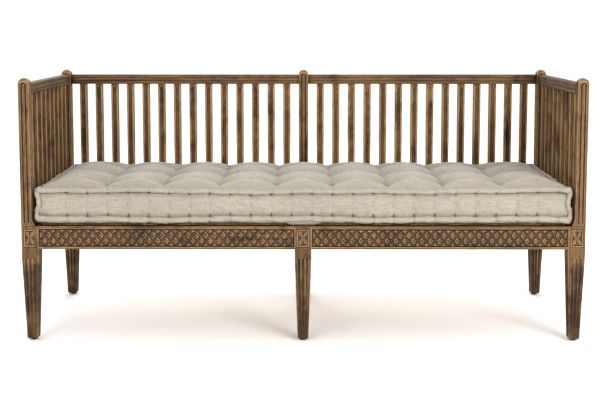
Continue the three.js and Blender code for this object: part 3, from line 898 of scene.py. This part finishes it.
def stitch_distance(s):
    """The distance along the border to the nearest stitch."""
    return np.abs(np.mod(s - STITCH_OFFSET + STITCH_PITCH / 2, STITCH_PITCH) - STITCH_PITCH / 2)


def border_place(x, y):
    """How far round the border a point is: along X on the long sides, and along Y on the short ones."""
    return np.where((ROLL_X - np.abs(x)) < (ROLL_Y - np.abs(y - MIDDLE_Y)), y, x)


def seam_distance(place, z):
    """The distance up or down the border to the nearer of its two seams."""
    return np.minimum(np.abs(z - UPPER_SEAM - SEAM_WAVE(place)), np.abs(z - LOWER_SEAM - LOWER_WAVE(place)))


def bow(depth, place, long_side):
    """How far the middle of a side bows in."""
    return depth * np.cos(np.clip(place / np.where(long_side, BODY_X, BODY_Y), -1, 1) * math.pi / 2)


def rounded_box(spacing):
    """The body as a box with rounded corners and edges, in cells of about the spacing.

    Gives its points, its quads, and for each point its level from 0 to 1, how far in from the sides it was
    before the edges above and below were rounded, and its way out.
    """
    unit, quads = box_grid([int(round(size / spacing)) for size in (2 * BODY_X, 2 * BODY_Y, BODY_THICK)])
    x = BODY_X * (2 * unit[:, 0] - 1)
    y = BODY_Y * (2 * unit[:, 1] - 1)

    # round corners seen from above
    ex, ey = rounded(np.abs(x) - BODY_X + BODY_CORNER, np.abs(y) - BODY_Y + BODY_CORNER)
    in_corner = (ex > 0) & (ey > 0)
    x = np.sign(x) * (np.minimum(np.abs(x), BODY_X - BODY_CORNER) + ex)
    y = np.sign(y) * (np.minimum(np.abs(y), BODY_Y - BODY_CORNER) + ey)
    in_x, in_y = BODY_X - np.abs(x), BODY_Y - np.abs(y)
    inset = np.where(in_corner, BODY_CORNER - np.hypot(ex, ey), np.minimum(in_x, in_y))
    toward_x = np.where(in_corner, ex, (in_x < in_y) * 1.0)
    toward_y = np.where(in_corner, ey, 1.0 - toward_x)
    out = np.column_stack([np.sign(x) * toward_x, np.sign(y) * toward_y])
    out /= np.maximum(np.hypot(toward_x, toward_y), 1e-9)[:, None]

    # round edges above and below
    height = unit[:, 2] * BODY_THICK
    from_end = np.minimum(height, BODY_THICK - height)
    edge = np.where(height > BODY_THICK / 2, BODY_EDGE, BODY_LOW_EDGE)
    across, up = rounded(edge - inset, edge - from_end)
    near_edge = (inset < edge) & (from_end < edge)
    moved_out = inset - np.where(near_edge, edge - across, inset)
    from_end = np.where(near_edge, edge - up, from_end)
    height = np.where(height < BODY_THICK / 2, from_end, BODY_THICK - from_end)
    x, y = x + out[:, 0] * moved_out, y + out[:, 1] * moved_out
    return np.column_stack([x, y + MIDDLE_Y, BODY_LOW + height]), quads, unit[:, 2], inset, out


def nearest(values, places):
    """The distance from each value to the nearest of the places."""
    return np.abs(values[:, None] - places).min(axis=1)


def tuft_distance(x, y):
    """The distance seen from above to the nearest tuft."""
    return np.hypot((x[:, None] - TUFT_X)[:, :, None], (y[:, None] - TUFT_Y)[:, None, :]).min(axis=(1, 2))


def tufting(x, y, inset):
    """How far the top is drawn down at its tufts and in the creases from tuft to tuft."""
    inner = np.clip(inset / (45 * MM), 0, 1)
    columns = nearest(x + 2.5 * MM * np.sin(y * 9 + 3 * x), TUFT_X)
    rows = nearest(y + 3 * MM * np.sin(x * 11), TUFT_Y)
    dent = TUFT_DEPTH * fade(tuft_distance(x, y), 24 * MM)
    dent += 13 * MM * fade(columns, 11 * MM) * (0.35 + 0.65 * inner)
    dent += 2 * MM * fade(rows, 14 * MM) * inner
    dent -= 3 * MM * np.sin(x * 5.1 + 0.6) * np.sin(y * 7.7 + 1.1)
    return dent * inner


def mattress_form():
    """The mattress's body before it swells: points, quads and how firmly each point is held."""
    spacing = 9 * MM
    points, quads, level, inset, out = rounded_box(spacing)
    x, y, z = points.T
    top, under, on_border = level == 1, level == 0, inset < 4 * MM
    to_tuft = tuft_distance(x, y)

    # the top falls toward its edges, with a furrow behind the roll
    fall = 20 * MM * fade(inset, 22 * MM) + 5 * MM * bell(inset - 13 * MM, 6 * MM)
    upper = np.clip((z - BODY_LOW) / BODY_THICK, 0, 1) ** 2
    z = z - np.where(top, tufting(x, y, inset) + fall, fall * upper * (inset <= 0))

    # the border is drawn in at its seams and its stitches, and beside its corners
    place = border_place(x, y)
    stitch, seam = stitch_distance(place), seam_distance(place, z)
    from_corner = np.hypot(BODY_X - np.abs(x), BODY_Y - np.abs(y - MIDDLE_Y))
    drawn = 8 * MM * bell(seam, 8 * MM) + 1.4 * MM * bell(stitch, 7 * MM)
    drawn += 4 * MM * bell(np.hypot(stitch, seam), 8 * MM) + 5 * MM * bell(from_corner - 22 * MM, 8 * MM)
    drawn += bow(4 * MM, place, place == x)
    drawn *= np.clip(1 - inset / (30 * MM), 0, 1)
    x, y = x - out[:, 0] * drawn, y - out[:, 1] * drawn

    # the underside leaves the rails near its edges, and lies flat inside them
    off_block = smooth_step(45 * MM, 75 * MM, np.abs(x))
    over_front_rail = smooth_step(27 * MM, 18 * MM, inset) * (y < MIDDLE_Y)
    lifted = np.maximum(over_front_rail, smooth_step(15 * MM, 3 * MM, inset))
    z = z + np.where(under, 12 * MM * off_block * lifted, 0)

    held = np.zeros(len(x))
    held[on_border & (seam < 0.55 * spacing)] = 0.8
    held[on_border & (np.maximum(seam, stitch) < 0.6 * spacing)] = 1
    held[top & (to_tuft < 0.75 * spacing)] = 1
    held[under & ((inset > 10 * MM) | (off_block < 0.5))] = 1
    held[top & (np.abs(inset - 12 * MM) < 0.6 * spacing)] = 0.8
    return np.column_stack([x, y, z]), quads, held


SWELL_FRAMES = 20
SWELL_CAP = 24 * MM


def swell(piece, held):
    """The shape that the piece takes when a cloth simulation blows it up, with each point's move capped."""
    start = coordinates(piece.data)
    pins = piece.vertex_groups.new(name="pins")
    for weight in np.unique(held[held > 0]):
        pins.add(np.flatnonzero(held == weight).tolist(), float(weight), "REPLACE")
    modifier = piece.modifiers.new("cloth", "CLOTH")
    settings = modifier.settings
    settings.quality = 6
    settings.mass = 0.25
    settings.tension_stiffness = 12
    settings.compression_stiffness = 8
    settings.shear_stiffness = 4
    settings.bending_stiffness = 0.25
    settings.use_pressure = True
    settings.uniform_pressure_force = 4
    settings.shrink_min = -0.02
    settings.vertex_group_mass = "pins"
    settings.pin_stiffness = 3
    settings.effector_weights.gravity = 0
    modifier.collision_settings.use_collision = False
    modifier.point_cache.frame_end = SWELL_FRAMES
    scene = bpy.context.scene
    for step in range(1, SWELL_FRAMES + 1):
        scene.frame_set(step)
    depsgraph = bpy.context.evaluated_depsgraph_get()
    end = coordinates(piece.evaluated_get(depsgraph).data)
    piece.modifiers.remove(modifier)
    piece.vertex_groups.remove(pins)
    scene.frame_set(1)
    moved = end - start
    length = np.linalg.norm(moved, axis=1, keepdims=True)
    moved *= SWELL_CAP * np.tanh(length / SWELL_CAP) / np.maximum(length, 1e-9)
    return start + moved


def coordinates(mesh):
    """Where a mesh's vertices are."""
    found = np.empty(len(mesh.vertices) * 3)
    mesh.vertices.foreach_get("co", found)
    return found.reshape(-1, 3)


def place_vertices(mesh, points):
    mesh.vertices.foreach_set("co", np.asarray(points, dtype=np.float32).ravel())
    mesh.update()


def new_piece(name, points, faces, material):
    """A piece of the mattress."""
    mesh = bpy.data.meshes.new(name)
    mesh.from_pydata(np.asarray(points).tolist(), [], [list(map(int, f)) for f in faces])
    mesh.shade_smooth()
    mesh.materials.append(material)
    piece = add_object(name, mesh)
    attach(piece, "mattress")
    return piece


def subdivide(piece):
    """One smooth subdivision, applied."""
    modifier = piece.modifiers.new("smooth", "SUBSURF")
    modifier.levels = modifier.render_levels = 1
    depsgraph = bpy.context.evaluated_depsgraph_get()
    finer = bpy.data.meshes.new_from_object(piece.evaluated_get(depsgraph))
    piece.modifiers.remove(modifier)
    piece.data = finer
    finer.shade_smooth()


def inside_room(points):
    """Keeps the mattress clear of the posts, the rails and the slats round it."""
    x, y, z = points.T
    x = np.clip(x, -MATTRESS_HIGH.x, MATTRESS_HIGH.x)
    y = np.clip(y, MATTRESS_LOW.y - 1 * MM, MATTRESS_HIGH.y)
    z = np.maximum(z, MATTRESS_LOW.z)
    return np.column_stack([x, y, z])


def mesh_hollows(piece, rounds, full):
    """Stores how far each vertex lies in a hollow, from -1 on a crest to 1."""
    mesh = piece.data
    points = coordinates(mesh)
    edges = np.empty(len(mesh.edges) * 2, dtype=np.int64)
    mesh.edges.foreach_get("vertices", edges)
    a, b = edges.reshape(-1, 2).T
    count = np.bincount(np.append(a, b), minlength=len(points))[:, None]
    smooth = points.copy()
    for _ in range(rounds):
        total = np.zeros_like(smooth)
        for k in range(3):
            total[:, k] = np.bincount(np.append(a, b), smooth[np.append(b, a), k], len(points))
        smooth = total / count
    normals = np.empty(len(points) * 3)
    mesh.vertex_normals.foreach_get("vector", normals)
    away = np.einsum("ij,ij->i", smooth - points, normals.reshape(-1, 3))
    store(mesh, "hollow", np.clip(away / full, -1, 1))


def build_body():
    """The mattress's cover, swollen and made smooth."""
    points, quads, held = mattress_form()
    piece = new_piece("mattress_cover", points, quads, LINEN)
    place_vertices(piece.data, inside_room(swell(piece, held)))
    subdivide(piece)
    place_vertices(piece.data, inside_room(coordinates(piece.data)))
    mesh_hollows(piece, 10, 3 * MM)
    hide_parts("mattress")
    return piece


def roll_path(step):
    """Points about a step apart round the mattress's edge, seen from above, and the way out from each."""
    side_x, side_y = ROLL_X - ROLL_CORNER, ROLL_Y - ROLL_CORNER
    centres = np.array([(side_x, -side_y), (side_x, side_y), (-side_x, side_y), (-side_x, -side_y)])
    points, outs = [], []
    for turn, (centre, next_centre) in enumerate(zip(centres, np.roll(centres, -1, axis=0))):
        angles = (turn - 1) * math.pi / 2 + np.linspace(0, math.pi / 2, int(ROLL_CORNER * 1.6 / step) + 1)
        out = np.column_stack([np.cos(angles), np.sin(angles)])
        corner = centre + ROLL_CORNER * out
        goal = next_centre + ROLL_CORNER * out[-1]
        count = int(np.linalg.norm(goal - corner[-1]) / step)
        share = np.linspace(0, 1, count + 1)[1:-1, None]
        points += [corner, corner[-1] * (1 - share) + goal * share]
        outs += [out, np.repeat(out[-1:], len(share), axis=0)]
    points, outs = np.vstack(points), np.vstack(outs)
    points[:, 1] += MIDDLE_Y
    return points, outs


def build_roll(name, z, wave, tall):
    """A stuffed roll sewn along an edge of the mattress, nipped in at its stitches."""
    path, out = roll_path(4 * MM)
    place = border_place(path[:, 0], path[:, 1])
    slant = np.abs(out).min(axis=1)
    in_corner = slant > 0.02
    nip = bell(stitch_distance(place), 6 * MM) * ~in_corner
    puff = 0.07 * np.sin(place * 61) + 0.05 * np.sin(place * 143 + 1)
    puff += 0.34 * np.clip(1.35 * slant, 0, 1) * in_corner
    radius = ROLL_RADIUS * (1 - 0.20 * nip + puff)
    angles = np.linspace(0, 2 * math.pi, 18, endpoint=False)
    swirl = 0.05 * np.sin(3 * angles + place[:, None] * 92)
    swirl += 0.035 * np.sin(5 * angles - place[:, None] * 171)
    reach = radius[:, None] * (1 + swirl)
    centre = path - out * (bow(3.5 * MM, place, np.abs(out[:, 1]) > 0.99) + 1.5 * MM * nip)[:, None]
    points = np.empty((*reach.shape, 3))
    points[..., :2] = centre[:, None] + out[:, None] * (reach * np.cos(angles))[..., None]
    points[..., 2] = z + wave(place)[:, None] + reach * np.sin(angles) * tall
    start = np.arange(reach.size).reshape(reach.shape)
    beyond = np.roll(start, -1, axis=0)
    quads = np.stack([start, beyond, np.roll(beyond, -1, axis=1), np.roll(start, -1, axis=1)], axis=-1)
    piece = new_piece(name, inside_room(points.reshape(-1, 3)), quads.reshape(-1, 4), LINEN)
    mesh_hollows(piece, 6, 1.2 * MM)
    return piece


def tube(centres, radii, around=10):
    """A tube through the centres, closed at both ends: points and faces."""
    centres, radii = np.asarray(centres, float), np.broadcast_to(radii, len(centres))
    tangent = np.gradient(centres, axis=0)
    tangent /= np.linalg.norm(tangent, axis=1, keepdims=True)
    guide = (1.0, 0, 0) if abs(tangent[0, 0]) < 0.7 else (0, 1.0, 0)
    side = np.cross(tangent, guide)
    side /= np.linalg.norm(side, axis=1, keepdims=True)
    other = np.cross(tangent, side)
    angles = np.linspace(0, 2 * math.pi, around, endpoint=False)
    spokes = side[:, None] * np.cos(angles)[:, None] + other[:, None] * np.sin(angles)[:, None]
    rings = centres[:, None] + radii[:, None, None] * spokes
    ring = list(range(around))
    last = (len(centres) - 1) * around
    ends = [ring[::-1], [last + j for j in ring]]
    return rings.reshape(-1, 3), ring_quads(len(centres), around) + ends


def gather(parts):
    """Many (points, faces) as one."""
    points, faces, offset = [], [], 0
    for part_points, part_faces in parts:
        points.append(part_points)
        faces += [[offset + v for v in face] for face in part_faces]
        offset += len(part_points)
    return np.vstack(points), faces


def build_corner_rolls():
    """The upright rolls at the mattress's corners, which zigzag between the upper and lower ones."""
    parts = []
    share = np.linspace(0, 1, 40)
    for sx in (-1, 1):
        for sy in (-1, 1):
            zigzag = 8 * MM * np.sin(share * 2.2 * math.pi + 0.5) * np.sin(share * math.pi) ** 0.5
            corner = np.array([sx * (ROLL_X - ROLL_CORNER), MIDDLE_Y + sy * (ROLL_Y - ROLL_CORNER)])
            out = np.array([sx * 0.66, sy * 0.75])
            along = np.array([out[1], -out[0]]) * sx * sy
            reach = ROLL_CORNER + 4.5 * MM - 2 * MM * np.sin(share * math.pi)
            base = corner + out * reach[:, None] + along * zigzag[:, None]
            z = LOWER_ROLL + (UPPER_ROLL - LOWER_ROLL) * share
            radii = 9 * MM * (1 + 0.10 * np.sin(share * 23) + 0.06 * np.sin(share * 51))
            parts.append(tube(np.column_stack([base, z]), radii, 14))
    points, faces = gather(parts)
    piece = new_piece("mattress_corner_rolls", inside_room(points), faces, LINEN)
    mesh_hollows(piece, 6, 1.2 * MM)
    return piece


def surface_at(tree, place, direction):
    """Where a ray from a place first meets the cover."""
    return np.array(tree.ray_cast(Vector(place), Vector(direction))[0])


TIE_REACH = 8 * MM
TIE_RADIUS = 0.9 * MM
STITCH_RADIUS = 1.1 * MM
OUTSIDE = 1.2


def tie(tree, x, y, turn):
    """Three crossed threads over a tuft."""
    middle = surface_at(tree, (x, y, MATTRESS_HIGH.z + OUTSIDE), (0, 0, -1))
    share = np.linspace(-1, 1, 7)
    parts = []
    for k in range(3):
        angle = turn + k * math.pi / 3
        way = np.array([math.cos(angle), math.sin(angle), 0])
        centres = middle + way * share[:, None] * TIE_REACH
        centres[:, 2] += 2.2 * MM - 0.5 * MM * share**2 + 0.5 * MM * k
        parts.append(tube(centres, TIE_RADIUS, 6))
    return parts


def stitch_pair(tree, axis, place, side):
    """Upright stitches at a place on a border along an axis, under the upper roll and over the lower."""
    out = side * np.eye(3)[1 - axis]
    middle = (place, MIDDLE_Y) if axis == 0 else (0, place)
    parts = []
    for seam, wave, up, length in ((UPPER_SEAM, SEAM_WAVE, -1, 9 * MM), (LOWER_SEAM, LOWER_WAVE, 1, 17 * MM)):
        z0 = seam + wave(place) - up * 4 * MM
        centres = [surface_at(tree, (*middle, z) + OUTSIDE * out, -out) + out * 0.5 * MM
                   for z in np.linspace(z0, z0 + up * length, 6)]
        parts.append(tube(centres, STITCH_RADIUS, 6))
    return parts


def build_threads(cover):
    """The ties in the tufts, and the stitches along the border, coloured near black as painted shade."""
    tree = BVHTree.FromObject(cover, bpy.context.evaluated_depsgraph_get())
    parts = []
    for column, x in enumerate(TUFT_X):
        for row, y in enumerate(TUFT_Y):
            parts += tie(tree, x, y, 0.6 * column + 1.1 * row)
    count = int(2 * BODY_X / STITCH_PITCH)
    for side in (-1, 1):
        for k in range(-count, count + 1):
            place = STITCH_OFFSET + k * STITCH_PITCH
            if abs(place) < BODY_X - 60 * MM:
                parts += stitch_pair(tree, 0, place, side)
            if MATTRESS_LOW.y + 60 * MM < place < MATTRESS_HIGH.y - 60 * MM:
                parts += stitch_pair(tree, 1, place, side)
    points, faces = gather(parts)
    piece = new_piece("mattress_threads", inside_room(points), faces, THREAD_WITH_PAINTED_SHADE)
    store(piece.data, "hollow", np.zeros(len(points)))
    return piece


mattress_cover = build_body()
build_roll("mattress_upper_roll", UPPER_ROLL, SEAM_WAVE, 0.95)
build_roll("mattress_lower_roll", LOWER_ROLL, LOWER_WAVE, 1.15)
build_corner_rolls()
build_threads(mattress_cover)

# ---------- floor and light ----------

FAR = 300
LAMPS_AIM = Vector((0, 0, 0.4))


def build_studio():
    """A pale floor without an edge in sight, an even white sky and three soft lamps."""
    mesh = bpy.data.meshes.new("floor")
    mesh.from_pydata([(-FAR, -FAR, 0), (FAR, -FAR, 0), (FAR, FAR, 0), (-FAR, FAR, 0)], [], [(0, 1, 2, 3)])
    finish = Finish("pale_floor")
    finish.surface(Base_Color=(0.95, 0.95, 0.95), Roughness=0.9)
    mesh.materials.append(finish.material)
    add_object("floor", mesh)
    world = bpy.data.worlds.new("studio")
    bpy.context.scene.world = world
    world.use_nodes = True
    background = world.node_tree.nodes["Background"].inputs
    background["Color"].default_value = (1, 1, 1, 1)
    background["Strength"].default_value = 0.8
    lamp("key", (3.0, -4.4, 2.2), 2.2, 120)
    lamp("fill", (-2.4, -4.8, 1.7), 3.0, 66)
    lamp("back", (-0.5, 4.2, 3.4), 3.0, 80)
    view = bpy.context.scene.view_settings
    view.view_transform = "Standard"
    view.look = "High Contrast"


def lamp(name, place, size, power):
    """A soft square lamp that looks at the daybed."""
    data = bpy.data.lights.new(name, "AREA")
    data.size = size
    data.energy = power
    light = add_object(name, data)
    light.location = place
    light.rotation_euler = (LAMPS_AIM - Vector(place)).to_track_quat("-Z", "Y").to_euler()


build_studio()
